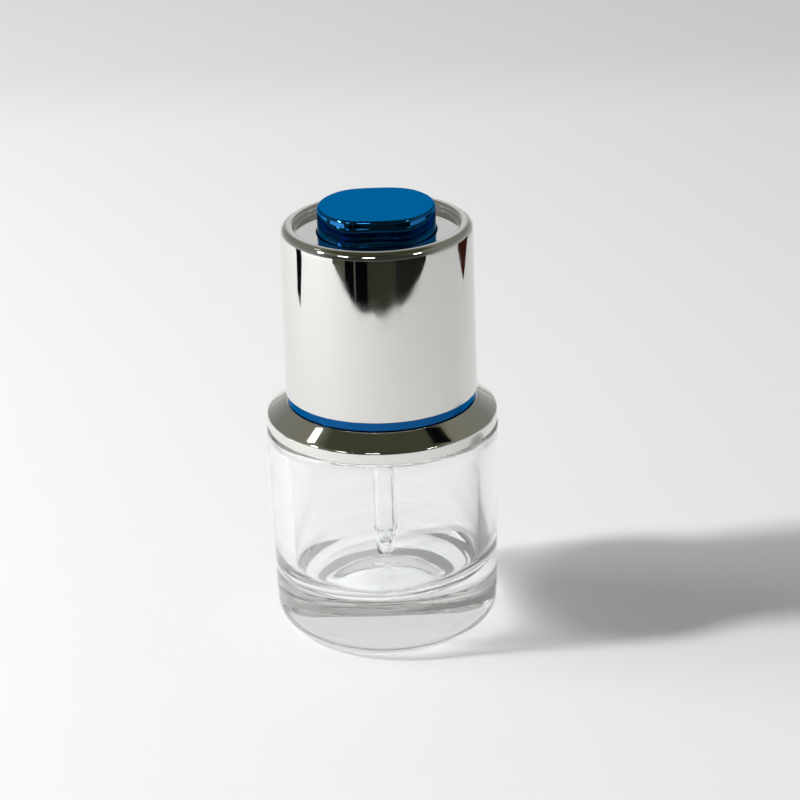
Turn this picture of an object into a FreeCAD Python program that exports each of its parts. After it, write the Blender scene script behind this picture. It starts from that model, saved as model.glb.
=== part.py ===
# A push-button dropper bottle in clear glass, about 20 ml, standing upright.
#
# The bottle has a thick base, and a step on its shoulder that fits inside a plated collar.
# The collar hides a 20-410 screw neck.
# The closure screws on the neck: an inner cap with a thread, a plated shell over it,
# a blue ring at its foot and a blue button on top.  The button presses a rubber bulb,
# which draws liquid up a glass pipette.
#
# Millimetres, +Z up.  The origin is on the bottle's axis, on the surface it stands on.

import FreeCAD, Part
import math
import os
import re
import Sketcher

SIZES = {
    # glass bottle
    "bottle_foot_radius": 18.70,
    "bottle_top_radius": 19.40,
    "bottle_foot_rounding": 4.60,
    "bottle_side_top": 36.05,
    "bottle_shoulder_rounding": 0.80,
    "bottle_step_radius": 18.10,
    "bottle_step_top": 37.30,
    "bottle_step_rounding": 1.00,
    "bottle_shoulder_top": 38.50,
    "push_up_radius": 10.70,
    "push_up_depth": 0.60,
    "push_up_slope_width": 3.00,
    "push_up_rounding": 6.00,
    "cavity_floor": 9.40,
    "cavity_wall": 3.30,
    "cavity_floor_rounding": 4.80,
    "cavity_top": 36.00,
    "cavity_top_rounding": 3.00,
    "neck_radius": 8.75,
    "neck_bore_radius": 6.50,
    "neck_height": 13.90,
    "bead_radius": 9.90,
    "bead_bottom": 39.50,
    "bead_height": 1.10,
    # thread of the neck and of the inner cap
    "thread_pitch": 3.175,
    "thread_depth": 1.10,
    "thread_root_width": 1.70,
    "thread_crest_width": 0.70,
    "thread_start": 45.60,
    "neck_turns": 1.50,
    "cap_turns": 1.25,
    "thread_side_gap": 0.20,
    "thread_radial_gap": 0.22,
    # collar on the shoulder
    "collar_radius": 19.25,
    "collar_top_radius": 15.90,
    "collar_skirt_bottom": 36.35,
    "collar_skirt_top": 38.30,
    "collar_top": 40.60,
    "collar_wall": 0.90,
    "collar_hole_radius": 10.40,
    "liner_lip_radius": 9.00,
    "liner_radius": 14.20,
    # closure shell and ring
    "ring_gap": 0.12,
    "ring_radius": 15.77,
    "ring_top": 42.20,
    "ring_spigot_height": 2.40,
    "ring_spigot_gap": 0.03,
    "shell_foot_radius": 16.00,
    "shell_top_radius": 15.75,
    "shell_bore_radius": 14.85,
    "shell_top": 71.20,
    "rim_rounding": 1.50,
    "rim_inner_radius": 13.55,
    "rim_inner_rounding": 0.55,
    "deck_top": 69.80,
    "deck_thickness": 1.20,
    # inner cap
    "cap_skirt_radius": 12.30,
    "cap_ceiling": 56.20,
    "cap_ceiling_thickness": 1.40,
    "cap_ceiling_hole_radius": 6.40,
    "cap_foot": 41.20,
    # neck wiper, gasket and pipette holder
    "wiper_flange_radius": 8.30,
    "wiper_flange_thickness": 0.80,
    "wiper_wall": 0.90,
    "wiper_length": 7.40,
    "wiper_hole_radius": 2.00,
    "gasket_thickness": 1.00,
    "gasket_radius": 8.60,
    "gasket_hole_radius": 4.20,
    "holder_flange_radius": 8.20,
    "holder_flange_thickness": 0.80,
    "holder_stem_radius": 3.30,
    "holder_drop": 4.00,
    "holder_rise": 2.60,
    # pipette
    "pipette_radius": 1.93,
    "pipette_bore_radius": 1.20,
    "pipette_tip": 11.80,
    "pipette_tip_length": 5.00,
    "pipette_bead_radius": 1.65,
    "pipette_end_radius": 1.00,
    "pipette_jet_radius": 0.45,
    "pipette_top": 57.60,
    # bulb
    "bulb_radius": 6.10,
    "bulb_wall": 1.20,
    "bulb_flange_thickness": 1.20,
    "bulb_flange_radius": 8.20,
    "bulb_top": 66.20,
    "bulb_crown_radius": 3.60,
    "bulb_shoulder_drop": 2.60,
    # button, its plunger and its guide
    "button_top": 74.20,
    "button_radius": 9.70,
    "button_flat": 8.90,
    "button_corner_rounding": 8.00,
    "button_edge_rounding": 0.55,
    "button_wall": 1.00,
    "button_gap": 0.22,
    "button_flange_radius": 10.80,
    "button_flange_thickness": 1.20,
    "button_play": 0.10,
    "plunger_plate_thickness": 1.20,
    "plunger_plate_gap": 0.05,
    "plunger_stem_radius": 2.60,
    "plunger_pad_radius": 4.60,
    "plunger_pad_thickness": 1.20,
    "plunger_rib_thickness": 1.00,
    "plunger_rib_reach": 6.60,
    "guide_bore_radius": 11.10,
    "guide_wall": 1.20,
    "guide_rib_radius": 14.80,
    "guide_rib_thickness": 1.40,
}

document = FreeCAD.newDocument("DropperBottle")


def make_sheet():
    """Write every driving size to the spreadsheet, one row each."""
    sheet = document.addObject("Spreadsheet::Sheet", "sizes")
    for row, (name, value) in enumerate(SIZES.items(), start=1):
        sheet.set("A%d" % row, name)
        sheet.set("B%d" % row, str(value))
        sheet.setAlias("B%d" % row, name)
    document.recompute()
    return sheet


def bound(formula):
    """Turn a formula in plain names into one that reads the spreadsheet."""
    return re.sub(r"[a-z][a-z_]+", lambda word: "sizes." + word.group(0), formula)


def new_body(label):
    body = document.addObject("PartDesign::Body", label)
    body.Label = label
    return body


def new_sketch(body, name, plane_role):
    """Attach a sketch to one of the body's own origin planes."""
    sketch = body.newObject("Sketcher::SketchObject", name)
    planes = [item for item in body.Origin.OriginFeatures if item.Role == plane_role]
    sketch.AttachmentSupport = [(planes[0], "")]
    sketch.MapMode = "FlatFace"
    return sketch


def pin_point(sketch, geometry, point, x_formula, y_formula):
    """Fix one point of a sketch by its distances from the origin."""
    for kind, axis, formula in (("DistanceX", -2, x_formula), ("DistanceY", -1, y_formula)):
        if formula == "0":
            sketch.addConstraint(Sketcher.Constraint("PointOnObject", geometry, point, axis))
            continue
        number = sketch.addConstraint(Sketcher.Constraint(kind, -1, 1, geometry, point, 1.0))
        sketch.setExpression("Constraints[%d]" % number, bound(formula))


def draw_outline(sketch, corners):
    """Draw a closed outline through corners given as (radius, height) formulas."""
    count = len(corners)
    for number in range(count):
        turn = 2 * math.pi * number / count
        following = 2 * math.pi * (number + 1) / count
        first = FreeCAD.Vector(10 + math.cos(turn), 10 + math.sin(turn), 0)
        second = FreeCAD.Vector(10 + math.cos(following), 10 + math.sin(following), 0)
        sketch.addGeometry(Part.LineSegment(first, second), False)
    for number in range(count):
        following = (number + 1) % count
        sketch.addConstraint(Sketcher.Constraint("Coincident", number, 2, following, 1))
    for number, corner in enumerate(corners):
        pin_point(sketch, number, 1, corner[0], corner[1])


def circle_at(shape, radius, height):
    """Name the circular edge of a shape at a radius and height."""
    for number, edge in enumerate(shape.Edges, start=1):
        curve = edge.Curve
        if not isinstance(curve, Part.Circle):
            continue
        if abs(curve.Radius - radius) < 0.002 and abs(curve.Center.z - height) < 0.002:
            return "Edge%d" % number
    raise RuntimeError("no edge at radius %.3f, height %.3f" % (radius, height))


def round_edges(body, radius, name_edges):
    """Round the edges that a function names on the body's shape so far."""
    base = body.Tip
    fillet = body.newObject("PartDesign::Fillet", body.Label + "_rounding")
    fillet.Base = (base, name_edges(base.Shape))
    fillet.setExpression("Radius", bound(radius))
    document.recompute()


def turned(label, corners):
    """Turn an outline round the Z axis; a third entry in a corner names its rounding."""
    body = new_body(label)
    sketch = new_sketch(body, label + "_outline", "XZ_Plane")
    draw_outline(sketch, corners)
    document.recompute()
    turn = body.newObject("PartDesign::Revolution", label + "_turn")
    turn.Profile = sketch
    turn.ReferenceAxis = (sketch, ["V_Axis"])
    turn.Angle = 360
    sketch.Visibility = False
    document.recompute()
    rounded = {}
    for number, corner in enumerate(corners):
        if len(corner) == 3:
            place = sketch.Geometry[number].StartPoint
            rounded.setdefault(corner[2], []).append((place.x, place.y))
    for radius, places in rounded.items():
        round_edges(body, radius, lambda shape: [circle_at(shape, *place) for place in places])
    return body


def flatted_outline(body, name, height, radius, flat):
    """Draw a circle with two flats, in front and behind, at a height."""
    sketch = new_sketch(body, name, "XY_Plane")
    sketch.setExpression("AttachmentOffset.Base.z", bound(height))
    start_radius = SIZES["button_radius"]
    start_flat = SIZES["button_flat"]
    corner = math.asin(start_flat / start_radius)
    reach = start_radius * math.cos(corner)
    circle = Part.Circle(FreeCAD.Vector(0, 0, 0), FreeCAD.Vector(0, 0, 1), start_radius)
    back = Part.LineSegment(FreeCAD.Vector(reach, start_flat, 0), FreeCAD.Vector(-reach, start_flat, 0))
    front = Part.LineSegment(FreeCAD.Vector(-reach, -start_flat, 0), FreeCAD.Vector(reach, -start_flat, 0))
    sketch.addGeometry(Part.ArcOfCircle(circle, -corner, corner), False)
    sketch.addGeometry(back, False)
    sketch.addGeometry(Part.ArcOfCircle(circle, math.pi - corner, math.pi + corner), False)
    sketch.addGeometry(front, False)
    for number in range(4):
        sketch.addConstraint(Sketcher.Constraint("Coincident", number, 2, (number + 1) % 4, 1))
    for arc in (0, 2):
        sketch.addConstraint(Sketcher.Constraint("Coincident", arc, 3, -1, 1))
    sketch.addConstraint(Sketcher.Constraint("Horizontal", 1))
    sketch.addConstraint(Sketcher.Constraint("Horizontal", 3))
    sketch.addConstraint(Sketcher.Constraint("Equal", 0, 2))
    number = sketch.addConstraint(Sketcher.Constraint("Radius", 0, start_radius))
    sketch.setExpression("Constraints[%d]" % number, bound(radius))
    for point, side in ((1, 1), (2, -1)):
        number = sketch.addConstraint(
            Sketcher.Constraint("DistanceY", -1, 1, 1, point, start_flat) if side > 0
            else Sketcher.Constraint("DistanceY", 3, 1, -1, 1, start_flat))
        sketch.setExpression("Constraints[%d]" % number, bound(flat))
    document.recompute()
    return sketch


def padded_up(body, name, sketch, length):
    """Raise a sketch by a length."""
    pad = body.newObject("PartDesign::Pad", name)
    pad.Profile = sketch
    pad.setExpression("Length", bound(length))
    document.recompute()
    return pad


def pocketed_up(body, name, sketch, length):
    """Cut a sketch upwards by a length, and check that it took something away."""
    before = body.Shape.Volume
    pocket = body.newObject("PartDesign::Pocket", name)
    pocket.Profile = sketch
    pocket.Reversed = True
    pocket.setExpression("Length", bound(length))
    document.recompute()
    if not body.Shape.Volume < before - 1e-6:
        raise RuntimeError(name + " cut nothing")
    return pocket


def disc_outline(body, name, height, radius):
    """Draw a circle on the axis at a height."""
    sketch = new_sketch(body, name, "XY_Plane")
    sketch.setExpression("AttachmentOffset.Base.z", bound(height))
    circle = Part.Circle(FreeCAD.Vector(0, 0, 0), FreeCAD.Vector(0, 0, 1), 5)
    sketch.addGeometry(circle, False)
    sketch.addConstraint(Sketcher.Constraint("Coincident", 0, 3, -1, 1))
    number = sketch.addConstraint(Sketcher.Constraint("Radius", 0, 5))
    sketch.setExpression("Constraints[%d]" % number, bound(radius))
    document.recompute()
    return sketch


def add_thread(body, name, corners, turns):
    """Sweep a thread's section round the axis, right-handed, going up."""
    sketch = new_sketch(body, name + "_section", "XZ_Plane")
    draw_outline(sketch, corners)
    document.recompute()
    before = body.Shape.Volume
    helix = body.newObject("PartDesign::AdditiveHelix", name)
    helix.Profile = sketch
    helix.ReferenceAxis = (sketch, ["V_Axis"])
    helix.Mode = "pitch-turns-angle"
    helix.setExpression("Pitch", bound("thread_pitch"))
    helix.setExpression("Turns", bound(turns))
    sketch.Visibility = False
    document.recompute()
    if not body.Shape.Volume > before + 1:
        raise RuntimeError(name + " added nothing")


def glass_bottle():
    """Clear glass, thick in the base, with a push-up under it and a threaded neck."""
    neck_top = "bottle_shoulder_top + neck_height"
    body = turned("glass_bottle", [
        ("0", "push_up_depth"),
        ("push_up_radius - push_up_slope_width", "push_up_depth", "push_up_rounding"),
        ("push_up_radius", "0", "push_up_rounding"),
        ("bottle_foot_radius", "0", "bottle_foot_rounding"),
        ("bottle_top_radius", "bottle_side_top", "bottle_shoulder_rounding"),
        ("bottle_step_radius", "bottle_side_top"),
        ("bottle_step_radius", "bottle_step_top", "bottle_step_rounding"),
        ("neck_radius + 0.8", "bottle_shoulder_top"),
        ("neck_radius", "bottle_shoulder_top + 0.3"),
        ("neck_radius", "bead_bottom"),
        ("bead_radius", "bead_bottom"),
        ("bead_radius", "bead_bottom + bead_height / 2"),
        ("neck_radius", "bead_bottom + bead_height"),
        ("neck_radius", neck_top),
        ("neck_bore_radius", neck_top),
        ("neck_bore_radius", "cavity_top"),
        ("bottle_top_radius - cavity_wall", "cavity_top", "cavity_top_rounding"),
        ("bottle_foot_radius - cavity_wall + 0.2", "cavity_floor", "cavity_floor_rounding"),
        ("0", "cavity_floor"),
    ])
    add_thread(body, "neck_thread", [
        ("neck_radius - 0.3", "thread_start - thread_root_width / 2"),
        ("neck_radius", "thread_start - thread_root_width / 2"),
        ("neck_radius + thread_depth", "thread_start - thread_crest_width / 2"),
        ("neck_radius + thread_depth", "thread_start + thread_crest_width / 2"),
        ("neck_radius", "thread_start + thread_root_width / 2"),
        ("neck_radius - 0.3", "thread_start + thread_root_width / 2"),
    ], "neck_turns")
    return body


def shoulder_collar():
    """Plated collar: a short straight skirt, then a cone up to the foot of the closure."""
    slope_drop = "collar_wall * 1.2"
    return turned("shoulder_collar", [
        ("collar_radius - collar_wall", "collar_skirt_bottom"),
        ("collar_radius", "collar_skirt_bottom"),
        ("collar_radius", "collar_skirt_top"),
        ("collar_top_radius", "collar_top"),
        ("collar_hole_radius", "collar_top"),
        ("collar_hole_radius", "collar_top - collar_wall"),
        ("collar_top_radius - 0.5", "collar_top - collar_wall"),
        ("collar_radius - collar_wall", "collar_skirt_top - collar_wall / 2"),
    ])


def collar_liner():
    """Snap ring inside the collar; its lip hooks under the bead of the glass neck."""
    return turned("collar_liner", [
        ("liner_lip_radius", "bottle_shoulder_top + 0.35"),
        ("liner_radius", "bottle_shoulder_top + 0.35"),
        ("liner_radius", "collar_top - collar_wall"),
        ("bead_radius + 0.1", "collar_top - collar_wall"),
        ("bead_radius + 0.1", "bead_bottom - 0.1"),
        ("liner_lip_radius", "bead_bottom - 0.1"),
    ])


def neck_wiper():
    """Soft plug in the mouth of the neck; its small hole wipes the pipette."""
    neck_top = "bottle_shoulder_top + neck_height"
    plug_end = neck_top + " - wiper_length"
    return turned("neck_wiper", [
        ("wiper_hole_radius", plug_end),
        ("wiper_hole_radius + 0.9", plug_end),
        ("neck_bore_radius", plug_end + " + 2.4"),
        ("neck_bore_radius", neck_top),
        ("wiper_flange_radius", neck_top),
        ("wiper_flange_radius", neck_top + " + wiper_flange_thickness"),
        ("neck_bore_radius - wiper_wall", neck_top + " + wiper_flange_thickness"),
        ("neck_bore_radius - wiper_wall", plug_end + " + 3.0"),
        ("wiper_hole_radius", plug_end + " + 0.9"),
    ])


def neck_gasket():
    """Foam washer that seals the closure on the neck."""
    low = "bottle_shoulder_top + neck_height + wiper_flange_thickness"
    high = low + " + gasket_thickness"
    return turned("neck_gasket", [
        ("gasket_hole_radius", low),
        ("gasket_radius", low),
        ("gasket_radius", high),
        ("gasket_hole_radius", high),
    ])


def pipette_holder():
    """Bush that grips the pipette, with a flange clamped under the bulb."""
    low = "bottle_shoulder_top + neck_height + wiper_flange_thickness + gasket_thickness"
    high = low + " + holder_flange_thickness"
    return turned("pipette_holder", [
        ("pipette_radius", low + " - holder_drop"),
        ("holder_stem_radius - 0.5", low + " - holder_drop"),
        ("holder_stem_radius", low + " - holder_drop + 1"),
        ("holder_stem_radius", low),
        ("holder_flange_radius", low),
        ("holder_flange_radius", high),
        ("holder_stem_radius", high),
        ("holder_stem_radius", high + " + holder_rise"),
        ("pipette_radius", high + " + holder_rise"),
    ])


def glass_pipette():
    """Drawn glass tube with a thickened, narrowed tip."""
    neck_of_tip = "pipette_tip + pipette_tip_length"
    return turned("glass_pipette", [
        ("pipette_jet_radius", "pipette_tip"),
        ("pipette_end_radius", "pipette_tip"),
        ("pipette_bead_radius", "pipette_tip + 2.2"),
        ("pipette_bead_radius", neck_of_tip + " - 0.5"),
        ("pipette_radius", neck_of_tip),
        ("pipette_radius", "pipette_top"),
        ("pipette_bore_radius", "pipette_top"),
        ("pipette_bore_radius", neck_of_tip + " + 0.4"),
        ("pipette_jet_radius", "pipette_tip + 2.4"),
    ])


def inner_cap():
    """Threaded cap that holds the closure on the neck and clamps bulb, holder and gasket."""
    bore = "neck_radius + thread_depth + thread_radial_gap"
    crest = "neck_radius + thread_radial_gap"
    ceiling_top = "cap_ceiling + cap_ceiling_thickness"
    body = turned("inner_cap", [
        (bore, "cap_foot"),
        ("cap_skirt_radius", "cap_foot"),
        ("cap_skirt_radius", ceiling_top),
        ("cap_ceiling_hole_radius", ceiling_top),
        ("cap_ceiling_hole_radius", "cap_ceiling"),
        (bore, "cap_ceiling"),
    ])
    # The cap's thread bears on the underside of the neck's thread when it is tight.
    level = "thread_start - thread_root_width - thread_side_gap"
    add_thread(body, "cap_thread", [
        (bore + " + 0.3", level + " - thread_root_width / 3"),
        (bore + " + 0.3", level + " + thread_root_width / 3"),
        (bore, level + " + thread_root_width / 3"),
        (crest, level + " + thread_crest_width / 4"),
        (crest, level + " - thread_crest_width / 4"),
        (bore, level + " - thread_root_width / 3"),
    ], "cap_turns")
    return body


def accent_ring():
    """Blue ring at the foot of the closure, with a spigot inside the shell."""
    low = "collar_top + ring_gap"
    return turned("accent_ring", [
        ("cap_skirt_radius", low),
        ("ring_radius", low),
        ("ring_radius", "ring_top"),
        ("shell_bore_radius - ring_spigot_gap", "ring_top"),
        ("shell_bore_radius - ring_spigot_gap", "ring_top + ring_spigot_height"),
        ("shell_bore_radius - 1", "ring_top + ring_spigot_height"),
        ("shell_bore_radius - 1", "ring_top"),
        ("cap_skirt_radius", "ring_top"),
    ])


def cap_shell():
    """Plated outer shell: rounded rim, recessed deck and a hole shaped like the button."""
    body = turned("cap_shell", [
        ("shell_bore_radius", "ring_top"),
        ("shell_foot_radius", "ring_top"),
        ("shell_top_radius", "shell_top", "rim_rounding"),
        ("rim_inner_radius", "shell_top", "rim_inner_rounding"),
        ("rim_inner_radius", "deck_top"),
        ("0", "deck_top"),
        ("0", "deck_top - deck_thickness"),
        ("shell_bore_radius", "deck_top - deck_thickness"),
    ])
    hole = flatted_outline(body, "button_hole_outline", "deck_top - deck_thickness",
                           "button_radius + button_gap", "button_flat + button_gap")
    pocketed_up(body, "button_hole", hole, "deck_thickness")
    round_edges(body, "button_corner_rounding + button_gap", upright_edges)
    return body


def upright_edges(shape):
    """Name the four upright edges where the round sides meet the flats."""
    names = []
    for number, edge in enumerate(shape.Edges, start=1):
        if not isinstance(edge.Curve, Part.Line):
            continue
        direction = edge.Curve.Direction
        middle = edge.CenterOfMass
        if abs(direction.z) > 0.999 and abs(middle.y) > 1:
            names.append("Edge%d" % number)
    return names


def button_guide():
    """Sleeve on the inner cap that centres the shell and guides the button's flange."""
    low = "cap_ceiling + cap_ceiling_thickness"
    high = "deck_top - deck_thickness"
    outer = "guide_bore_radius + guide_wall"
    return turned("button_guide", [
        ("guide_bore_radius", low),
        ("guide_rib_radius", low),
        ("guide_rib_radius", low + " + guide_rib_thickness"),
        (outer, low + " + guide_rib_thickness"),
        (outer, high + " - guide_rib_thickness"),
        ("guide_rib_radius", high + " - guide_rib_thickness"),
        ("guide_rib_radius", high),
        ("guide_bore_radius", high),
    ])


def rubber_bulb():
    """Rubber bulb: a clamped flange, straight sides and a domed crown under the plunger."""
    low = "cap_ceiling - bulb_flange_thickness"
    inner = "bulb_radius - bulb_wall"
    return turned("rubber_bulb", [
        (inner, low),
        ("bulb_flange_radius", low),
        ("bulb_flange_radius", "cap_ceiling"),
        ("bulb_radius", "cap_ceiling"),
        ("bulb_radius", "bulb_top - bulb_shoulder_drop"),
        ("bulb_crown_radius", "bulb_top"),
        ("0", "bulb_top"),
        ("0", "bulb_top - bulb_wall"),
        ("bulb_crown_radius - bulb_wall / 2", "bulb_top - bulb_wall"),
        (inner, "bulb_top - bulb_shoulder_drop - bulb_wall / 2"),
    ])


def push_button():
    """Blue button: a hollow moulding with two flats and a flange that stops it under the deck."""
    body = new_body("push_button")
    flange_top = "deck_top - deck_thickness - button_play"
    skirt = flatted_outline(body, "button_outline", flange_top, "button_radius", "button_flat")
    padded_up(body, "button_side", skirt, "button_top - (" + flange_top + ")")
    round_edges(body, "button_corner_rounding", upright_edges)
    round_edges(body, "button_edge_rounding", top_edges)
    flange = disc_outline(body, "flange_outline", flange_top + " - button_flange_thickness",
                          "button_flange_radius")
    padded_up(body, "button_flange", flange, "button_flange_thickness")
    hollow = flatted_outline(body, "hollow_outline", flange_top + " - button_flange_thickness",
                             "button_radius - button_wall", "button_flat - button_wall")
    pocketed_up(body, "button_hollow", hollow,
                "button_top - button_wall - (" + flange_top + " - button_flange_thickness)")
    return body


def top_edges(shape):
    """Name the edges round the topmost face."""
    top = shape.BoundBox.ZMax
    names = []
    for number, edge in enumerate(shape.Edges, start=1):
        box = edge.BoundBox
        if abs(box.ZMin - top) < 0.001 and abs(box.ZMax - top) < 0.001:
            names.append("Edge%d" % number)
    return names


def button_plunger():
    """Plunger clipped inside the button: a plate, a ribbed stem and a pad on the bulb."""
    body = new_body("button_plunger")
    plate_top = "button_top - button_wall"
    plate_low = plate_top + " - plunger_plate_thickness"
    stem = disc_outline(body, "stem_outline", "bulb_top", "plunger_stem_radius")
    padded_up(body, "stem", stem, plate_low + " - bulb_top")
    pad = disc_outline(body, "pad_outline", "bulb_top", "plunger_pad_radius")
    padded_up(body, "pad", pad, "plunger_pad_thickness")
    for name, length, width in (("rib_across", "plunger_rib_reach", "plunger_rib_thickness / 2"),
                                ("rib_along", "plunger_rib_thickness / 2", "plunger_rib_reach")):
        rib = new_sketch(body, name + "_outline", "XY_Plane")
        rib.setExpression("AttachmentOffset.Base.z", bound("bulb_top + plunger_pad_thickness"))
        draw_rectangle(rib, length, width)
        padded_up(body, name, rib, plate_low + " - bulb_top - plunger_pad_thickness")
    plate = flatted_outline(body, "plate_outline", plate_low,
                            "button_radius - button_wall - plunger_plate_gap",
                            "button_flat - button_wall - plunger_plate_gap")
    padded_up(body, "plate", plate, "plunger_plate_thickness")
    return body


def draw_rectangle(sketch, half_length, half_width):
    """Draw a rectangle centred on the axis."""
    places = [(-5, -5), (5, -5), (5, 5), (-5, 5)]
    for number in range(4):
        first = FreeCAD.Vector(places[number][0], places[number][1], 0)
        second = FreeCAD.Vector(places[(number + 1) % 4][0], places[(number + 1) % 4][1], 0)
        sketch.addGeometry(Part.LineSegment(first, second), False)
    for number in range(4):
        sketch.addConstraint(Sketcher.Constraint("Coincident", number, 2, (number + 1) % 4, 1))
    for side in (0, 2):
        sketch.addConstraint(Sketcher.Constraint("Horizontal", side))
    for side in (1, 3):
        sketch.addConstraint(Sketcher.Constraint("Vertical", side))
    for first, second in (((-1, 1), (2, 1)), ((0, 1), (-1, 1))):
        for kind, formula in (("DistanceX", half_length), ("DistanceY", half_width)):
            number = sketch.addConstraint(Sketcher.Constraint(kind, *first, *second, 5))
            sketch.setExpression("Constraints[%d]" % number, bound(formula))
    document.recompute()


def check_document(bodies):
    """Stop if any object failed or any sub-part is empty or not valid."""
    document.recompute()
    for item in document.Objects:
        if "Invalid" in item.State or "Error" in item.State:
            raise RuntimeError(item.Name + " failed")
    for body in bodies:
        shape = body.Shape
        if shape.isNull() or not shape.isValid() or len(shape.Solids) != 1:
            raise RuntimeError(body.Label + " is not one valid solid")


def write_parts(bodies):
    os.makedirs("parts", exist_ok=True)
    for body in bodies:
        body.Shape.exportStep("parts/" + body.Label + ".step")


make_sheet()
parts = [
    glass_bottle(),
    shoulder_collar(),
    collar_liner(),
    neck_wiper(),
    neck_gasket(),
    pipette_holder(),
    glass_pipette(),
    inner_cap(),
    accent_ring(),
    cap_shell(),
    button_guide(),
    rubber_bulb(),
    push_button(),
    button_plunger(),
]
check_document(parts)
write_parts(parts)
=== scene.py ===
import math

import bmesh
import bpy
from mathutils import Matrix, Vector


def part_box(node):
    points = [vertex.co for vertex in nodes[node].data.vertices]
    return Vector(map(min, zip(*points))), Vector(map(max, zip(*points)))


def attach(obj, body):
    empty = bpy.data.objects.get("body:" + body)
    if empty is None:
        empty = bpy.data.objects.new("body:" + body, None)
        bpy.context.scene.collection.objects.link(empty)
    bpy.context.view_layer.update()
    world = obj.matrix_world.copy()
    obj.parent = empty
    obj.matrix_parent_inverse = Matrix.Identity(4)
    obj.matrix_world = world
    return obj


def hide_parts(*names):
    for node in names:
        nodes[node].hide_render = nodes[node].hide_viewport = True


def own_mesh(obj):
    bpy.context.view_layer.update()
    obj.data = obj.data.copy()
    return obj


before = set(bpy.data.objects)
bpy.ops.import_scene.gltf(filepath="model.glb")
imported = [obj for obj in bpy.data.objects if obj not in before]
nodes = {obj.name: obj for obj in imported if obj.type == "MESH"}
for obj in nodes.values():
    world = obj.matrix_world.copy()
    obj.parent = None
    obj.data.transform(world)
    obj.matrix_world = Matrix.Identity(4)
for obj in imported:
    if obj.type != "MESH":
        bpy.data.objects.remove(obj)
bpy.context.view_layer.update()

# Glass bottle.  It is blown clear glass with a thick base and a shallow push-up under it.
# The neck has a bead that the collar snaps over, and a right-handed thread for the closure.
MM = 0.001


def turned(name, corners, steps=144, row=0.6 * MM):
    """Spin an outline round the upright axis.  Corners are (radius, height, rounding)."""
    shape = bmesh.new()
    points = [shape.verts.new((radius, 0, height)) for radius, height, rounding in corners]
    closed = corners[0][0] > 0 or corners[-1][0] > 0
    pairs = list(zip(points, points[1:] + points[:1]))
    for first, second in pairs if closed else pairs[:-1]:
        shape.edges.new((first, second))
    for number, (radius, height, rounding) in enumerate(corners):
        if rounding == 0:
            continue
        here = Vector(corners[number][:2])
        before = (Vector(corners[number - 1][:2]) - here).normalized()
        after = (Vector(corners[(number + 1) % len(corners)][:2]) - here).normalized()
        turn = math.pi - before.angle(after)
        bmesh.ops.bevel(shape, geom=[points[number]], offset=rounding * math.tan(turn / 2),
                        offset_type="OFFSET", segments=max(3, round(turn / 0.16)), profile=0.5,
                        affect="VERTICES", material=-1)
    for edge in list(shape.edges):
        cuts = int(edge.calc_length() / row)
        if cuts:
            bmesh.ops.subdivide_edges(shape, edges=[edge], cuts=cuts)
    bmesh.ops.spin(shape, geom=shape.verts[:] + shape.edges[:], cent=(0, 0, 0), axis=(0, 0, 1),
                   dvec=(0, 0, 0), angle=2 * math.pi, steps=steps, use_merge=True)
    bmesh.ops.remove_doubles(shape, verts=shape.verts[:], dist=0.0005 * MM)
    bmesh.ops.recalc_face_normals(shape, faces=shape.faces[:])
    return finished(name, shape)


def finished(name, shape):
    """Turn a bmesh into a smooth-shaded object at the origin."""
    mesh = bpy.data.meshes.new(name)
    shape.to_mesh(mesh)
    shape.free()
    mesh.shade_smooth()
    mesh.set_sharp_from_angle(angle=math.radians(38))
    piece = bpy.data.objects.new(name, mesh)
    bpy.context.scene.collection.objects.link(piece)
    return piece


def surface(name):
    """Start a material and return it with its node tree and its shader."""
    material = bpy.data.materials.new(name)
    material.use_nodes = True
    return material, material.node_tree, material.node_tree.nodes["Principled BSDF"]


def grain(tree, size, detail=2.0, stretch=(1, 1, 1)):
    """Noise whose lumps are about one size across, in the piece's own space."""
    place = tree.nodes.new("ShaderNodeTexCoord")
    mapping = tree.nodes.new("ShaderNodeMapping")
    mapping.inputs["Scale"].default_value = stretch
    noise = tree.nodes.new("ShaderNodeTexNoise")
    noise.inputs["Scale"].default_value = 1 / size
    noise.inputs["Detail"].default_value = detail
    tree.links.new(place.outputs["Object"], mapping.inputs["Vector"])
    tree.links.new(mapping.outputs["Vector"], noise.inputs["Vector"])
    return noise.outputs["Fac"]


def ranged(tree, value, low, high, to_low, to_high):
    """Map one range of a value to another, held at both ends."""
    scale = tree.nodes.new("ShaderNodeMapRange")
    scale.inputs["From Min"].default_value = low
    scale.inputs["From Max"].default_value = high
    scale.inputs["To Min"].default_value = to_low
    scale.inputs["To Max"].default_value = to_high
    tree.links.new(value, scale.inputs["Value"])
    return scale.outputs["Result"]


def embossed(tree, shader, height, depth):
    """Feed a height into the shader's normal."""
    bump = tree.nodes.new("ShaderNodeBump")
    bump.inputs["Strength"].default_value = 1.0
    bump.inputs["Distance"].default_value = depth
    tree.links.new(height, bump.inputs["Height"])
    tree.links.new(bump.outputs["Normal"], shader.inputs["Normal"])


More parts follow.
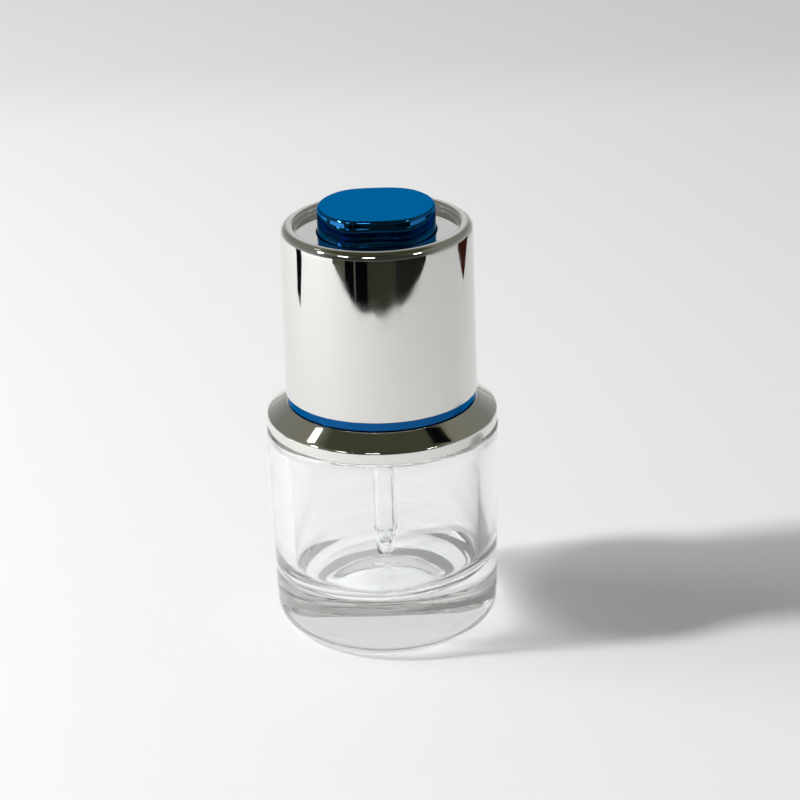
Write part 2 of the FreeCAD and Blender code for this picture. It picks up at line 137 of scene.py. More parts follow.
def blown_glass(name, tint, lamp_tint, wave_size, wave_depth):
    """Clear glass with slow waves from the mould and a faint film of finger marks."""
    material, tree, shader = surface(name)
    shader.inputs["Base Color"].default_value = (*tint, 1)
    shader.inputs["Transmission Weight"].default_value = 1.0
    shader.inputs["IOR"].default_value = 1.5
    marks = grain(tree, 3 * MM, detail=4)
    tree.links.new(ranged(tree, marks, 0.6, 0.85, 0.0, 0.012), shader.inputs["Roughness"])
    embossed(tree, shader, grain(tree, wave_size, detail=1, stretch=(1, 1, 0.5)), wave_depth)
    # Lamps shine through the walls, and less where they graze them.
    clear = tree.nodes.new("ShaderNodeBsdfTransparent")
    clear.inputs["Color"].default_value = (*lamp_tint, 1)
    path = tree.nodes.new("ShaderNodeLightPath")
    slope = tree.nodes.new("ShaderNodeLayerWeight")
    slope.inputs["Blend"].default_value = 0.5
    share = tree.nodes.new("ShaderNodeMath")
    share.operation = "MULTIPLY"
    tree.links.new(path.outputs["Is Shadow Ray"], share.inputs[0])
    tree.links.new(ranged(tree, slope.outputs["Facing"], 0.55, 1.0, 1.0, 0.45), share.inputs[1])
    mix = tree.nodes.new("ShaderNodeMixShader")
    tree.links.new(share.outputs["Value"], mix.inputs["Fac"])
    tree.links.new(shader.outputs["BSDF"], mix.inputs[1])
    tree.links.new(clear.outputs["BSDF"], mix.inputs[2])
    tree.links.new(mix.outputs["Shader"], tree.nodes["Material Output"].inputs["Surface"])
    return material


PUSH_UP = 0.60 * MM
BOTTLE_FOOT_RADIUS = 18.70 * MM
BOTTLE_TOP_RADIUS = 19.40 * MM
BOTTLE_SIDE_TOP = 36.05 * MM
SHOULDER_STEP_RADIUS = 18.10 * MM
SHOULDER_STEP_TOP = 37.30 * MM
SHOULDER_TOP = 38.50 * MM
GLASS_WALL = 3.30 * MM
CAVITY_FLOOR = 9.40 * MM
CAVITY_TOP = 36.00 * MM
NECK_RADIUS = 8.75 * MM
NECK_BORE = 6.50 * MM
NECK_BEAD_RADIUS = 9.90 * MM
THREAD_PITCH = 3.175 * MM
THREAD_START = 45.60 * MM
THREAD_TURNS = 1.5
neck_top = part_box("glass_bottle")[1].z

bottle = turned("glass_bottle_clear", [
    (0, PUSH_UP, 0),
    (7.70 * MM, PUSH_UP, 6.0 * MM),
    (10.70 * MM, 0, 6.0 * MM),
    (BOTTLE_FOOT_RADIUS, 0, 4.60 * MM),
    (BOTTLE_TOP_RADIUS, BOTTLE_SIDE_TOP, 0.80 * MM),
    (SHOULDER_STEP_RADIUS, BOTTLE_SIDE_TOP, 0.30 * MM),
    (SHOULDER_STEP_RADIUS, SHOULDER_STEP_TOP, 1.00 * MM),
    (NECK_RADIUS + 0.8 * MM, SHOULDER_TOP, 0.5 * MM),
    (NECK_RADIUS, SHOULDER_TOP + 0.3 * MM, 0.5 * MM),
    (NECK_RADIUS, 39.50 * MM, 0),
    (NECK_BEAD_RADIUS, 39.50 * MM, 0.25 * MM),
    (NECK_BEAD_RADIUS, 40.05 * MM, 0.35 * MM),
    (NECK_RADIUS, 40.60 * MM, 0.3 * MM),
    (NECK_RADIUS, neck_top, 0.5 * MM),
    (NECK_BORE, neck_top, 0.4 * MM),
    (NECK_BORE, CAVITY_TOP, 1.2 * MM),
    (BOTTLE_TOP_RADIUS - GLASS_WALL, CAVITY_TOP, 3.00 * MM),
    (BOTTLE_FOOT_RADIUS - GLASS_WALL + 0.2 * MM, CAVITY_FLOOR, 4.80 * MM),
    (0, CAVITY_FLOOR, 0),
], steps=180)

# The floor of the cavity set a little uneven in the mould: it dips to the left and has slow waves,
# which die out up the wall.
CAVITY_REACH = 16.4 * MM
UNEVEN_TOP = 18 * MM
UNEVEN_FADE = 7 * MM
for vert in bottle.data.vertices:
    out = math.hypot(vert.co.x, vert.co.y)
    share = min(1, max(0, (UNEVEN_TOP - vert.co.z) / UNEVEN_FADE))
    if out < CAVITY_REACH and vert.co.z > CAVITY_FLOOR - 0.1 * MM and share > 0:
        around = math.atan2(vert.co.y, vert.co.x)
        waves = 0.14 * math.sin(3 * around + 0.9) * out / (14 * MM) + 0.05 * math.sin(5 * around)
        vert.co.z += share * (0.055 * vert.co.x + waves * MM)


def thread_rib(name, section, start, turns, steps_per_turn=96):
    """Sweep a thread's section up a helix and close both its ends."""
    shape = bmesh.new()
    points = [shape.verts.new((radius, 0, start + height)) for radius, height in section]
    shape.faces.new(points)
    steps = round(turns * steps_per_turn)
    swept = bmesh.ops.spin(shape, geom=shape.verts[:] + shape.edges[:] + shape.faces[:], cent=(0, 0, 0),
                           axis=(0, 0, 1), dvec=(0, 0, THREAD_PITCH / steps_per_turn),
                           angle=2 * math.pi * turns, steps=steps)
    last = [item for item in swept["geom_last"] if isinstance(item, bmesh.types.BMVert)]
    for end, angle in ((points, 0.0), (last, 2 * math.pi * turns)):
        middle = sum((vert.co for vert in end), Vector()) / len(end)
        inward = Vector((middle.x, middle.y, 0)).normalized() * -0.9 * MM
        for vert in end:
            vert.co = vert.co + inward
    bmesh.ops.recalc_face_normals(shape, faces=shape.faces[:])
    return finished(name, shape)


def joined_solid(piece, rib):
    """Unite a rib with its piece, so that the two are one closed solid."""
    union = piece.modifiers.new("thread", "BOOLEAN")
    union.operation = "UNION"
    union.object = rib
    union.solver = "EXACT"
    bpy.context.view_layer.update()
    solid = bpy.data.meshes.new_from_object(piece.evaluated_get(bpy.context.evaluated_depsgraph_get()))
    piece.modifiers.clear()
    piece.data = solid
    solid.shade_smooth()
    solid.set_sharp_from_angle(angle=math.radians(38))
    bpy.data.objects.remove(rib)


neck_rib = thread_rib("neck_rib", [
    (NECK_RADIUS - 0.3 * MM, -0.85 * MM),
    (NECK_RADIUS, -0.85 * MM),
    (NECK_RADIUS + 1.0 * MM, -0.35 * MM),
    (NECK_RADIUS + 1.1 * MM, 0),
    (NECK_RADIUS + 1.0 * MM, 0.35 * MM),
    (NECK_RADIUS, 0.85 * MM),
    (NECK_RADIUS - 0.3 * MM, 0.85 * MM),
], start=THREAD_START, turns=THREAD_TURNS)
joined_solid(bottle, neck_rib)
bottle.data.materials.append(
    blown_glass("clear_flint_glass", (0.99, 0.998, 0.995), (0.75, 0.755, 0.75), 16 * MM, 0.003 * MM))
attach(bottle, "bottle")
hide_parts("glass_bottle")

# Shoulder collar.  It is a moulded ring with a mirror plating that hides the neck of the glass.
# A short skirt meets the glass, and a cone rises from its sharp edge to the foot of the closure.
collar_low, collar_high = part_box("shoulder_collar")
COLLAR_WALL = 0.90 * MM
COLLAR_EDGE_HEIGHT = 38.30 * MM
COLLAR_TOP_RADIUS = 15.90 * MM
COLLAR_HOLE_RADIUS = 10.40 * MM


def specks(tree, size, share):
    """Dust: small round grains, of which only a share show."""
    place = tree.nodes.new("ShaderNodeTexCoord")
    cells = tree.nodes.new("ShaderNodeTexVoronoi")
    cells.inputs["Scale"].default_value = 1 / size
    tree.links.new(place.outputs["Object"], cells.inputs["Vector"])
    grains = ranged(tree, cells.outputs["Distance"], 0.10, 0.22, 1.0, 0.0)
    chance = ranged(tree, cells.outputs["Color"], 1 - share, 1 - share + 0.02, 0.0, 1.0)
    both = tree.nodes.new("ShaderNodeMath")
    both.operation = "MULTIPLY"
    tree.links.new(grains, both.inputs[0])
    tree.links.new(chance, both.inputs[1])
    return both.outputs["Value"]


def mirror_plating(name, colour, dust):
    """Bright plating over a polished moulding: nearly a mirror, with a haze and settled dust."""
    material, tree, shader = surface(name)
    shader.inputs["Metallic"].default_value = 1.0
    haze = ranged(tree, grain(tree, 5 * MM, detail=5), 0.4, 0.75, 0.03, 0.09)
    motes = specks(tree, 0.5 * MM, dust)
    mix = tree.nodes.new("ShaderNodeMath")
    mix.operation = "MULTIPLY_ADD"
    mix.inputs[1].default_value = 0.35
    tree.links.new(motes, mix.inputs[0])
    tree.links.new(haze, mix.inputs[2])
    tree.links.new(mix.outputs["Value"], shader.inputs["Roughness"])
    paint = tree.nodes.new("ShaderNodeMix")
    paint.data_type = "RGBA"
    paint.inputs["A"].default_value = (*colour, 1)
    paint.inputs["B"].default_value = (0.9, 0.9, 0.88, 1)
    tree.links.new(motes, paint.inputs["Factor"])
    tree.links.new(paint.outputs["Result"], shader.inputs["Base Color"])
    embossed(tree, shader, grain(tree, 9 * MM, detail=1), 0.002 * MM)
    return material


collar = turned("shoulder_collar_plated", [
    (collar_high.x - COLLAR_WALL, collar_low.z, 0.1 * MM),
    (collar_high.x, collar_low.z, 0.15 * MM),
    (collar_high.x, COLLAR_EDGE_HEIGHT, 0.40 * MM),
    (COLLAR_TOP_RADIUS, collar_high.z, 0.2 * MM),
    (COLLAR_HOLE_RADIUS, collar_high.z, 0.1 * MM),
    (COLLAR_HOLE_RADIUS, collar_high.z - COLLAR_WALL, 0),
    (COLLAR_TOP_RADIUS - 0.5 * MM, collar_high.z - COLLAR_WALL, 0),
    (collar_high.x - COLLAR_WALL, COLLAR_EDGE_HEIGHT - COLLAR_WALL / 2, 0),
])
collar.data.materials.append(mirror_plating("collar_mirror_plating", (0.80, 0.80, 0.77), 0.10))
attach(collar, "bottle")
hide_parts("shoulder_collar")

# Glass pipette.  It is a drawn glass tube whose tip was softened in a flame, which gathered it into
# a thick bead with a fine jet.  The bush under the bulb grips its top end.
pipette_low, pipette_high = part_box("glass_pipette")
PIPETTE_BORE = 1.20 * MM
PIPETTE_JET = 0.45 * MM
PIPETTE_BEAD_RADIUS = 1.70 * MM
PIPETTE_WAIST_RADIUS = 1.50 * MM
tip = pipette_low.z
pipette = turned("glass_pipette_clear", [
    (PIPETTE_JET, tip, 0.15 * MM),
    (1.45 * MM, tip, 0.85 * MM),
    (PIPETTE_BEAD_RADIUS, tip + 2.6 * MM, 0.8 * MM),
    (PIPETTE_WAIST_RADIUS, tip + 4.2 * MM, 0.4 * MM),
    (pipette_high.x, tip + 5.0 * MM, 0.3 * MM),
    (pipette_high.x, pipette_high.z, 0.2 * MM),
    (PIPETTE_BORE, pipette_high.z, 0.2 * MM),
    (PIPETTE_BORE, tip + 5.3 * MM, 0.5 * MM),
    (0.75 * MM, tip + 4.3 * MM, 0.3 * MM),
    (0.95 * MM, tip + 2.9 * MM, 0.3 * MM),
    (PIPETTE_JET, tip + 2.0 * MM, 0.3 * MM),
], steps=64)

# The flame left the tip a little uneven round its axis.
for vert in pipette.data.vertices:
    softened = max(0, min(1, (tip + 4.6 * MM - vert.co.z) / (1.5 * MM)))
    around = math.atan2(vert.co.y, vert.co.x)
    shrink = 1 - softened * (0.035 + 0.035 * math.sin(3 * around + vert.co.z / (0.9 * MM)))
    vert.co.x *= shrink
    vert.co.y *= shrink

pipette.data.materials.append(blown_glass("pipette_drawn_glass", (0.99, 0.995, 0.995), (0.95, 0.95, 0.95),
                                          4 * MM, 0.004 * MM))
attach(pipette, "dropper")
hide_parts("glass_pipette")

# White mouldings inside.  The inner cap, the guide sleeve, the plunger, the pipette's bush and the
# collar's snap ring are polypropylene, with a fine spark-eroded skin and a little scuffing.


def white_moulding(name, colour):
    """Slightly translucent polypropylene with a fine mould texture."""
    material, tree, shader = surface(name)
    shader.inputs["Subsurface Weight"].default_value = 0.15
    shader.inputs["Subsurface Radius"].default_value = (1 * MM, 0.9 * MM, 0.8 * MM)
    shader.inputs["Subsurface Scale"].default_value = 1.0
    scuffs = grain(tree, 4 * MM, detail=6)
    paint = tree.nodes.new("ShaderNodeMix")
    paint.data_type = "RGBA"
    paint.inputs["A"].default_value = (*colour, 1)
    paint.inputs["B"].default_value = (*(channel * 0.93 for channel in colour), 1)
    tree.links.new(ranged(tree, scuffs, 0.45, 0.65, 0, 1), paint.inputs["Factor"])
    tree.links.new(paint.outputs["Result"], shader.inputs["Base Color"])
    tree.links.new(ranged(tree, scuffs, 0.3, 0.7, 0.38, 0.55), shader.inputs["Roughness"])
    embossed(tree, shader, grain(tree, 0.12 * MM, detail=2), 0.01 * MM)
    return material


def finish_node(node, material):
    """Give a carried-over node its material in every slot."""
    node.data.materials.clear()
    node.data.materials.append(material)


moulding = white_moulding("white_polypropylene", (0.86, 0.86, 0.84))
for name in ("inner_cap", "button_guide", "button_plunger", "pipette_holder", "collar_liner"):
    finish_node(nodes[name], moulding)

# Soft seals.  The wiper is a soft polyethylene plug pressed into the neck, and it strips the pipette
# as it is drawn out.  The gasket is a foam washer that the inner cap clamps on the neck.
seal = white_moulding("soft_polyethylene", (0.80, 0.82, 0.81))
for name in ("neck_wiper", "neck_gasket"):
    finish_node(nodes[name], seal)

# Rubber bulb.  It is a white nitrile moulding that the plunger presses flat.
# Its flange is clamped under the inner cap.
bulb_low, bulb_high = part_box("rubber_bulb")
BULB_WALL = 1.2 * MM
BULB_RADIUS = 6.1 * MM
flange_top = bulb_low.z + 1.2 * MM
bulb = turned("rubber_bulb_soft", [
    (BULB_RADIUS - BULB_WALL, bulb_low.z, 0.1 * MM),
    (bulb_high.x, bulb_low.z, 0.2 * MM),
    (bulb_high.x, flange_top, 0.2 * MM),
    (BULB_RADIUS, flange_top, 0.2 * MM),
    (BULB_RADIUS, bulb_high.z - 2.6 * MM, 1.8 * MM),
    (3.6 * MM, bulb_high.z, 1.2 * MM),
    (0, bulb_high.z, 0),
    (0, bulb_high.z - BULB_WALL, 0),
    (3.0 * MM, bulb_high.z - BULB_WALL, 1.0 * MM),
    (BULB_RADIUS - BULB_WALL, bulb_high.z - 3.2 * MM, 1.2 * MM),
], steps=96)
bulb_rubber, bulb_tree, bulb_shader = surface("bulb_rubber")
bulb_powder = grain(bulb_tree, 1.2 * MM, detail=6)
bulb_shader.inputs["Base Color"].default_value = (0.74, 0.73, 0.70, 1)
bulb_tree.links.new(ranged(bulb_tree, bulb_powder, 0.3, 0.7, 0.55, 0.8), bulb_shader.inputs["Roughness"])
embossed(bulb_tree, bulb_shader, bulb_powder, 0.01 * MM)
bulb.data.materials.append(bulb_rubber)
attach(bulb, "closure")
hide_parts("rubber_bulb")
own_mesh(bulb)

# Accent ring.  A blue metallised ring is pressed between the foot of the shell and the inner cap.
# Only its outer band shows, as a thin blue line under the shell.
ring_low, ring_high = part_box("accent_ring")
RING_BAND_TOP = 42.20 * MM
RING_HOLE_RADIUS = 12.30 * MM
SHELL_BORE = 14.85 * MM
SPIGOT_RADIUS = SHELL_BORE - 0.03 * MM


def blue_lacquer(name, colour, haze_low, haze_high):
    """Transparent blue lacquer over bright metallising: a coloured mirror with a soft haze."""
    material, tree, shader = surface(name)
    shader.inputs["Metallic"].default_value = 1.0
    shader.inputs["Specular Tint"].default_value = (0.38, 0.6, 0.8, 1)
    haze = grain(tree, 2.5 * MM, detail=5)
    tree.links.new(ranged(tree, haze, 0.35, 0.7, haze_low, haze_high), shader.inputs["Roughness"])
    motes = specks(tree, 0.9 * MM, 0.05)
    paint = tree.nodes.new("ShaderNodeMix")
    paint.data_type = "RGBA"
    paint.inputs["A"].default_value = (*colour, 1)
    paint.inputs["B"].default_value = (0.25, 0.42, 0.7, 1)
    tree.links.new(motes, paint.inputs["Factor"])
    tree.links.new(paint.outputs["Result"], shader.inputs["Base Color"])
    embossed(tree, shader, grain(tree, 0.25 * MM, detail=2), 0.0006 * MM)
    return material


ring = turned("accent_ring_blue", [
    (RING_HOLE_RADIUS, ring_low.z, 0),
    (ring_high.x, ring_low.z, 0.15 * MM),
    (ring_high.x, RING_BAND_TOP, 0.08 * MM),
    (SPIGOT_RADIUS, RING_BAND_TOP, 0),
    (SPIGOT_RADIUS, ring_high.z, 0.1 * MM),
    (SHELL_BORE - 1.0 * MM, ring_high.z, 0.1 * MM),
    (SHELL_BORE - 1.0 * MM, RING_BAND_TOP, 0),
    (RING_HOLE_RADIUS, RING_BAND_TOP, 0),
])
ring.data.materials.append(blue_lacquer("ring_blue_lacquer", (0.007, 0.09, 0.28), 0.05, 0.10))
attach(ring, "closure")
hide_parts("accent_ring")

# Cap shell.  It is one drawn and plated cup that covers the working parts of the closure.
# Its rim is rolled over, and a recessed deck closes the top round the button's hole.
shell_low, shell_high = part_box("cap_shell")
SHELL_FOOT_RADIUS = 16.00 * MM
SHELL_TOP_RADIUS = 15.75 * MM
RIM_INNER_RADIUS = 13.55 * MM
DECK_TOP = 69.80 * MM
DECK_THICKNESS = 1.20 * MM
BUTTON_RADIUS = 9.70 * MM
BUTTON_FLAT = 8.98 * MM
BUTTON_GAP = 0.22 * MM
FLAT_SHARPNESS = 16


def flatten_sides(piece, radius, flat, fade_radius=None):
    """Press two flats into a round shape, front and back, fading out towards a larger radius."""
    for vert in piece.data.vertices:
        reach = math.hypot(vert.co.x, vert.co.y)
        if reach < 0.01 * MM:
            continue
        sideways = abs(vert.co.y) / reach
        share = 1 / (1 + (sideways * radius / flat) ** FLAT_SHARPNESS) ** (1 / FLAT_SHARPNESS)
        if fade_radius:
            fade = min(1, max(0, (fade_radius - reach) / (fade_radius - radius)))
            share = 1 + (share - 1) * fade
        vert.co.x *= share
        vert.co.y *= share


hole_radius = BUTTON_RADIUS + BUTTON_GAP
shell = turned("cap_shell_plated", [
    (SHELL_BORE, shell_low.z, 0.05 * MM),
    (SHELL_FOOT_RADIUS, shell_low.z, 0.12 * MM),
    (SHELL_TOP_RADIUS, shell_high.z, 1.42 * MM),
    (RIM_INNER_RADIUS, shell_high.z, 0.72 * MM),
    (RIM_INNER_RADIUS, DECK_TOP, 0.20 * MM),
    (hole_radius, DECK_TOP, 0.08 * MM),
    (hole_radius, DECK_TOP - DECK_THICKNESS, 0.08 * MM),
    (SHELL_BORE, DECK_TOP - DECK_THICKNESS, 0.3 * MM),
], steps=180)
flatten_sides(shell, hole_radius, BUTTON_FLAT + BUTTON_GAP, fade_radius=12.5 * MM)
shell.data.materials.append(mirror_plating("shell_mirror_plating", (0.74, 0.74, 0.72), 0.02))
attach(shell, "closure")
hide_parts("cap_shell")

# Push button.  A hollow moulding with two flats slides in the deck's hole, and a flange at its foot
# stops it under the deck.  Like the ring it is metallised and lacquered blue.
button_low, button_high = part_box("push_button")
BUTTON_WALL = 1.0 * MM
BUTTON_FLANGE_RADIUS = 10.80 * MM
BUTTON_FLANGE_THICKNESS = 1.20 * MM
button = turned("push_button_blue", [
    (0, button_high.z, 0),
    (BUTTON_RADIUS, button_high.z, 0.55 * MM),
    (BUTTON_RADIUS, button_low.z + BUTTON_FLANGE_THICKNESS, 0.1 * MM),
    (BUTTON_FLANGE_RADIUS, button_low.z + BUTTON_FLANGE_THICKNESS, 0.1 * MM),
    (BUTTON_FLANGE_RADIUS, button_low.z, 0.1 * MM),
    (BUTTON_RADIUS - BUTTON_WALL, button_low.z, 0.1 * MM),
    (BUTTON_RADIUS - BUTTON_WALL, button_high.z - BUTTON_WALL, 0.3 * MM),
    (0, button_high.z - BUTTON_WALL, 0),
], steps=180)
flatten_sides(button, BUTTON_RADIUS, BUTTON_FLAT)
button.data.materials.append(blue_lacquer("button_blue_lacquer", (0.022, 0.175, 0.48), 0.05, 0.10))
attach(button, "button")
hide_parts("push_button")

# Paper sweep.  The bottle stands on a broad sheet of matt white paper, which is not part of it.
# Some way behind the bottle the paper turns slightly darker.
floor_shape = bmesh.new()
bmesh.ops.create_circle(floor_shape, cap_ends=True, segments=96, radius=4.0)
paper = finished("paper_sweep", floor_shape)
paper_white, paper_tree, paper_shader = surface("matt_paper")
paper_place = paper_tree.nodes.new("ShaderNodeTexCoord")
paper_axes = paper_tree.nodes.new("ShaderNodeSeparateXYZ")
paper_tree.links.new(paper_place.outputs["Object"], paper_axes.inputs["Vector"])
paper_tone = paper_tree.nodes.new("ShaderNodeMix")
paper_tone.data_type = "RGBA"
paper_tone.inputs["A"].default_value = (0.82, 0.82, 0.815, 1)
paper_tone.inputs["B"].default_value = (0.745, 0.75, 0.735, 1)
DARKENS_FROM = 0.285
DARKENS_TO = 0.345
paper_tree.links.new(ranged(paper_tree, paper_axes.outputs["Y"], DARKENS_FROM, DARKENS_TO, 0, 1),
                     paper_tone.inputs["Factor"])
paper_tree.links.new(paper_tone.outputs["Result"], paper_shader.inputs["Base Color"])
paper_shader.inputs["Roughness"].default_value = 0.9
paper.data.materials.append(paper_white)

# Room seen in the plating and through the glass: a pale dome with a dark ceiling.  Only mirror-like
# surfaces see the rest: the dark room beyond the front edge of the paper, two uprights at the
# sides, a window, a dark frame and three lamps.
CARD_REACH = 1.6


def glow(name, colour, strength=1.0):
    """A plain glowing material for things that are only seen in reflections."""
    material = bpy.data.materials.new(name)
    material.use_nodes = True
    tree = material.node_tree
    tree.nodes.remove(tree.nodes["Principled BSDF"])
    light = tree.nodes.new("ShaderNodeEmission")
    light.inputs["Color"].default_value = (*colour, 1)
    light.inputs["Strength"].default_value = strength
    tree.links.new(light.outputs["Emission"], tree.nodes["Material Output"].inputs["Surface"])
    return material, tree, light


def reflected_only(piece):
    """Hide a stage piece from everything but mirror-like reflections."""
    piece.visible_camera = False
    piece.visible_diffuse = False
    piece.visible_shadow = False


def heading(degrees):
    """A level direction, counted from straight in front towards the right."""
    return Vector((math.sin(math.radians(degrees)), -math.cos(math.radians(degrees)), 0))


def floor_card(name, near_edge, lift, material):
    """A flat card from a near edge of (heading, distance) places outwards, just above the paper."""
    shape = bmesh.new()
    raised = Vector((0, 0, lift))
    near = [shape.verts.new(heading(angle) * distance + raised) for angle, distance in near_edge]
    far = [shape.verts.new(heading(angle) * CARD_REACH + raised) for angle, distance in near_edge]
    for number in range(len(near) - 1):
        shape.faces.new((near[number], near[number + 1], far[number + 1], far[number]))
    card = finished(name, shape)
    card.data.materials.append(material)
    card.visible_transmission = False
    reflected_only(card)


def hung_card(name, angle, elevation, distance, width, height, material):
    """An upright card hung in a direction from the bottle, facing it."""
    shape = bmesh.new()
    away = heading(angle) * math.cos(math.radians(elevation))
    away.z = math.sin(math.radians(elevation))
    side = heading(angle + 90)
    upward = side.cross(away)
    middle = away * distance
    corners = [(-1, -1), (1, -1), (1, 1), (-1, 1)]
    shape.faces.new([shape.verts.new(middle + side * across * width / 2 + upward * up * height / 2)
                     for across, up in corners])
    card = finished(name, shape)
    card.data.materials.append(material)
    card.visible_transmission = False
    reflected_only(card)


dome_shape = bmesh.new()
bmesh.ops.create_uvsphere(dome_shape, u_segments=64, v_segments=32, radius=3.0)
dome = finished("room_dome", dome_shape)
dome_paint, dome_tree, dome_light = glow("pale_walls", (1, 1, 1))
dome_place = dome_tree.nodes.new("ShaderNodeTexCoord")
dome_axes = dome_tree.nodes.new("ShaderNodeSeparateXYZ")
dome_ramp = dome_tree.nodes.new("ShaderNodeValToRGB")
dome_tree.links.new(dome_place.outputs["Object"], dome_axes.inputs["Vector"])
dome_tree.links.new(ranged(dome_tree, dome_axes.outputs["Z"], 0, 3, 0, 1), dome_ramp.inputs["Fac"])
for position, grey in (
    (0.10, (0.38, 0.38, 0.365)),
    (0.26, (0.27, 0.27, 0.26)),
    (0.41, (0.205, 0.205, 0.19)),
    (0.80, (0.20, 0.195, 0.15)),
):
    stop = dome_ramp.color_ramp.elements.new(position)
    stop.color = (*grey, 1)
dome_ramp.color_ramp.elements[0].color = (0.50, 0.50, 0.485, 1)
dome_ramp.color_ramp.elements[-1].position = 0.88
dome_ramp.color_ramp.elements[-1].color = (0.052, 0.056, 0.034, 1)

# The room is darker in front.
dome_shade = dome_tree.nodes.new("ShaderNodeMix")
dome_shade.data_type = "RGBA"
dome_shade.blend_type = "MULTIPLY"
dome_shade.inputs["B"].default_value = (0.18, 0.18, 0.17, 1)
dome_tree.links.new(ranged(dome_tree, dome_axes.outputs["Y"], -1.8, -0.3, 1, 0),
                    dome_shade.inputs["Factor"])
dome_tree.links.new(dome_ramp.outputs["Color"], dome_shade.inputs["A"])

# The white backdrop stands behind the bottle, and what is seen through the glass is lit as brightly,
# except towards the front and far to the right.
off_centre = dome_tree.nodes.new("ShaderNodeMath")
off_centre.operation = "ABSOLUTE"
dome_tree.links.new(dome_axes.outputs["X"], off_centre.inputs[0])
backdrop = dome_tree.nodes.new("ShaderNodeMath")
backdrop.operation = "MULTIPLY"
dome_tree.links.new(ranged(dome_tree, off_centre.outputs["Value"], 0.4, 1.1, 1, 0), backdrop.inputs[0])
dome_tree.links.new(ranged(dome_tree, dome_axes.outputs["Y"], 2.0, 2.6, 0, 1), backdrop.inputs[1])
path = dome_tree.nodes.new("ShaderNodeLightPath")
pale = dome_tree.nodes.new("ShaderNodeMath")
pale.operation = "MAXIMUM"
dome_tree.links.new(backdrop.outputs["Value"], pale.inputs[0])
dome_tree.links.new(path.outputs["Is Transmission Ray"], pale.inputs[1])
dome_mix = dome_tree.nodes.new("ShaderNodeMix")
dome_mix.data_type = "RGBA"
dome_tree.links.new(pale.outputs["Value"], dome_mix.inputs["Factor"])
dome_tree.links.new(dome_shade.outputs["Result"], dome_mix.inputs["A"])
through_front = ranged(dome_tree, dome_axes.outputs["Y"], -1.6, -0.4, 1, 0)
through_right = ranged(dome_tree, dome_axes.outputs["X"], 1.9, 2.5, 0, 0.75)
through_dark = dome_tree.nodes.new("ShaderNodeMath")
through_dark.operation = "MAXIMUM"
dome_tree.links.new(through_front, through_dark.inputs[0])
dome_tree.links.new(through_right, through_dark.inputs[1])
through = dome_tree.nodes.new("ShaderNodeMix")
through.data_type = "RGBA"
through.inputs["A"].default_value = (0.67, 0.67, 0.67, 1)
through.inputs["B"].default_value = (0.14, 0.14, 0.14, 1)
dome_tree.links.new(through_dark.outputs["Value"], through.inputs["Factor"])
dome_tree.links.new(through.outputs["Result"], dome_mix.inputs["B"])
dome_tree.links.new(dome_mix.outputs["Result"], dome_light.inputs["Color"])
dome.data.materials.append(dome_paint)
reflected_only(dome)

far_room = glow("dark_room", (0.012, 0.014, 0.011))[0]
olive_wall = glow("olive_wall", (0.085, 0.085, 0.062))[0]
olive_chair = glow("olive_chair", (0.030, 0.032, 0.020))[0]
black_post = glow("black_post", (0.002, 0.002, 0.003))[0]
red_cloth = glow("dark_red_cloth", (0.040, 0.010, 0.008))[0]
floor_card("room_beyond_paper", [(-53, 0.215), (-44, 0.204), (-34.5, 0.193), (-28, 0.187), (-12, 0.183),
                                 (1, 0.187), (18.6, 0.186), (30, 0.188), (43, 0.198), (57, 0.213)],
           0.0004, far_room)
floor_card("olive_wall_left", [(-52.5, 0.215), (-44, 0.205), (-38, 0.198)], 0.0006, olive_wall)
floor_card("olive_gap", [(-27.5, 0.189), (-25.6, 0.189)], 0.0006, olive_wall)
floor_card("olive_chair", [(-12, 0.186), (20, 0.189)], 0.0006, olive_chair)
floor_card("post_far_left", [(-38, 0.197), (-27.5, 0.189)], 0.0008, black_post)
floor_card("post_near_left", [(-25.6, 0.188), (-12, 0.186)], 0.0008, black_post)
floor_card("post_left", [(-108.5, 0.181), (-103, 0.172), (-98.5, 0.205)], 0.0004, black_post)
floor_card("cloth_right", [(107, 0.208), (113, 0.193), (117, 0.182), (131, 0.205)], 0.0004, red_cloth)

window_glow = glow("window_glow", (1.0, 1.0, 0.97), 2.5)[0]
lamp_glow = glow("lamp_glow", (1.0, 0.98, 0.94), 14.0)[0]
hung_card("window", -117, 53, 2.0, 0.10, 0.16, window_glow)
hung_card("dark_frame", 109, 61, 2.0, 0.16, 0.40, black_post)
hung_card("lamp_left", -47, 42, 2.0, 0.34, 0.12, lamp_glow)
hung_card("lamp_middle", -12, 44, 2.0, 0.40, 0.12, lamp_glow)
hung_card("lamp_right", 56, 42, 2.0, 0.30, 0.12, lamp_glow)

# Studio light.  A small soft box and a wide one stand on the left and throw the long shadow to the
# right, and a pale room fills it.


def aim(thing, place, target):
    """Put a light or a camera at a place and point it at a target."""
    thing.location = place
    thing.rotation_euler = (Vector(target) - Vector(place)).to_track_quat("-Z", "Y").to_euler()


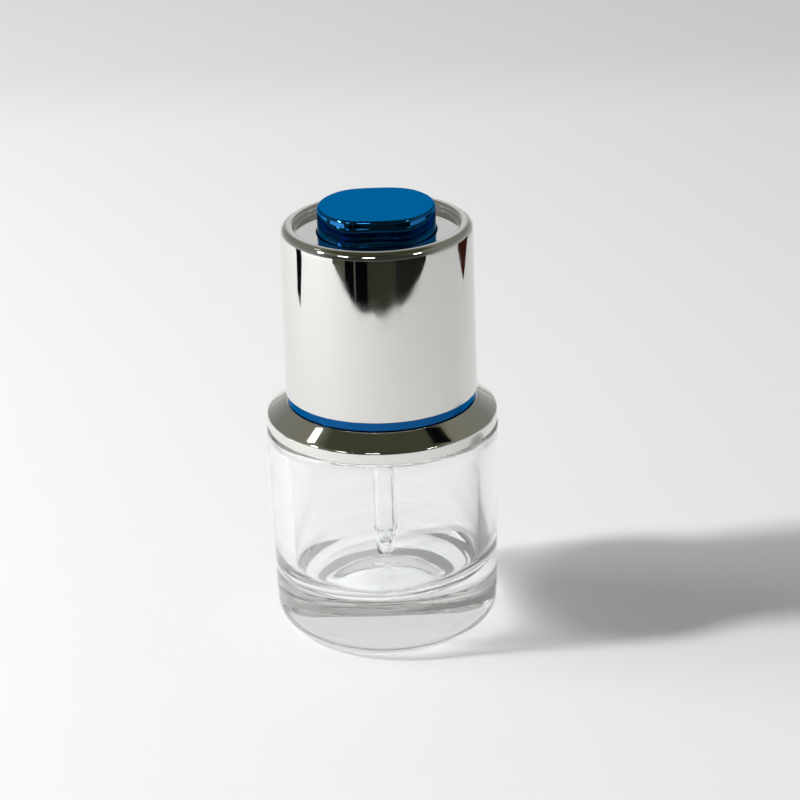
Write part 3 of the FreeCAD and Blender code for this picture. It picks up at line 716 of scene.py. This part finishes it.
def soft_box(name, place, size, energy):
    """A round soft box.  It shines through glass as its shadow says, so rays through glass miss it."""
    data = bpy.data.lights.new(name, "AREA")
    data.shape = "DISK"
    data.size = size
    data.energy = energy
    lamp = bpy.data.objects.new(name, data)
    bpy.context.scene.collection.objects.link(lamp)
    lamp.visible_transmission = False
    aim(lamp, place, (0, 0, 0.02))
    return lamp


soft_box("key_soft_box", (-0.76, -0.116, 0.675), 0.115, 8.2)
fill = soft_box("wide_soft_box", (-1.0, 0.07, 0.67), 0.67, 5.6)
fill.visible_glossy = False

room = bpy.data.worlds.new("pale_room")
bpy.context.scene.world = room
room.use_nodes = True
room.node_tree.nodes["Background"].inputs["Color"].default_value = (0.95, 0.95, 0.945, 1)
room.node_tree.nodes["Background"].inputs["Strength"].default_value = 0.35

# Camera.  A long lens looks down on the bottle from in front, and is rolled by a degree or two.
# Its three angles are in radians.
CAMERA_PLACE = (0, -0.4318, 0.2211)
CAMERA_YAW = 0.007
CAMERA_PITCH = 0.398
CAMERA_ROLL = -0.028
camera_data = bpy.data.cameras.new("camera")
camera_data.sensor_width = 36
camera_data.lens = 126
camera_data.clip_start = 0.01
camera = bpy.data.objects.new("camera", camera_data)
bpy.context.scene.collection.objects.link(camera)
forward = Vector((math.sin(CAMERA_YAW) * math.cos(CAMERA_PITCH),
                  math.cos(CAMERA_YAW) * math.cos(CAMERA_PITCH),
                  -math.sin(CAMERA_PITCH)))
level = forward.cross(Vector((0, 0, 1))).normalized()
upright = level.cross(forward)
across = level * math.cos(CAMERA_ROLL) + upright * math.sin(CAMERA_ROLL)
above = upright * math.cos(CAMERA_ROLL) - level * math.sin(CAMERA_ROLL)
turn = Matrix((across, above, -forward)).transposed().to_4x4()
camera.matrix_world = Matrix.Translation(CAMERA_PLACE) @ turn
bpy.context.scene.camera = camera
bpy.context.scene.view_settings.view_transform = "Standard"
bpy.context.scene.cycles.max_bounces = 24
bpy.context.scene.cycles.glossy_bounces = 16
bpy.context.scene.cycles.transmission_bounces = 24
